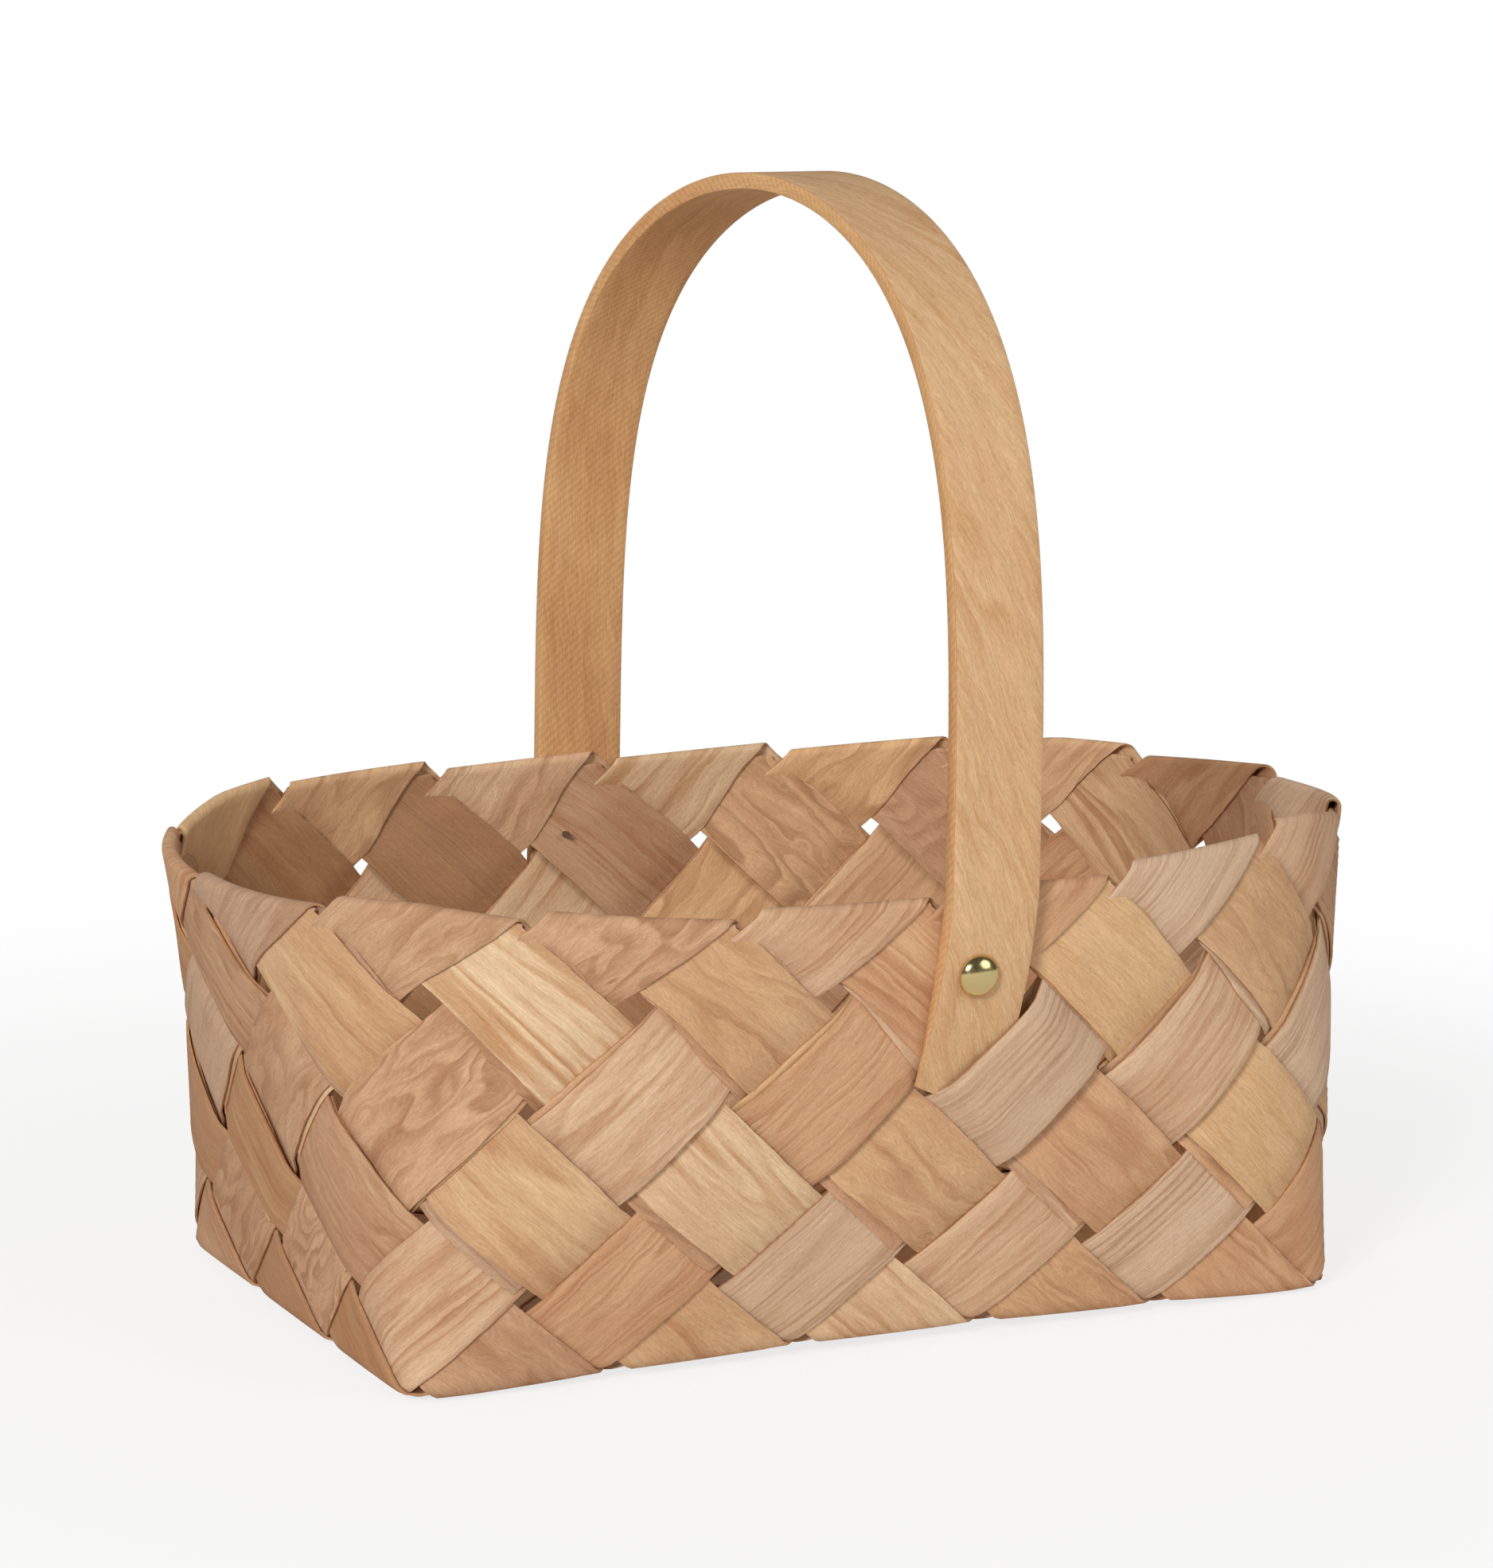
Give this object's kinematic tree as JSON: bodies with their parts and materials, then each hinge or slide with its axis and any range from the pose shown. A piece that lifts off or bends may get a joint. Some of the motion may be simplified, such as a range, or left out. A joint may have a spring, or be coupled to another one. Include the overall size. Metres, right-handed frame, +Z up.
{
  "type": "storage basket",
  "caption": "Small rectangular storage basket plaited on the bias from wide wood strips, with a folded oval rim and an arched bent wood handle nailed to the long sides.",
  "frame": {"origin": "centre of the rectangular base, on the surface that the basket stands on", "axes": "+X along the basket's long side, +Y from the near long side to the far one, +Z up"},
  "size_m": [0.2748, 0.1784, 0.2454],
  "materials": {
    "strip_wood": "raw rough-planed veneer",
    "handle_wood": "raw sanded wood",
    "brass": "polished",
    "steel": "plain"
  },
  "bodies": {
    "root": {"strip_right_1": "strip_wood", "strip_left_1": "strip_wood", "strip_right_2": "strip_wood", "strip_left_2": "strip_wood", "strip_right_3": "strip_wood", "strip_left_3": "strip_wood", "strip_right_4": "strip_wood", "strip_left_4": "strip_wood", "strip_right_5": "strip_wood", "strip_left_5": "strip_wood", "strip_right_6": "strip_wood", "strip_left_6": "strip_wood", "strip_right_7": "strip_wood", "strip_left_7": "strip_wood", "strip_right_8": "strip_wood", "strip_left_8": "strip_wood", "handle": "handle_wood", "dome_near": "brass", "dome_far": "brass", "nail_near": "steel", "nail_far": "steel"}
  },
  "joints": []
}
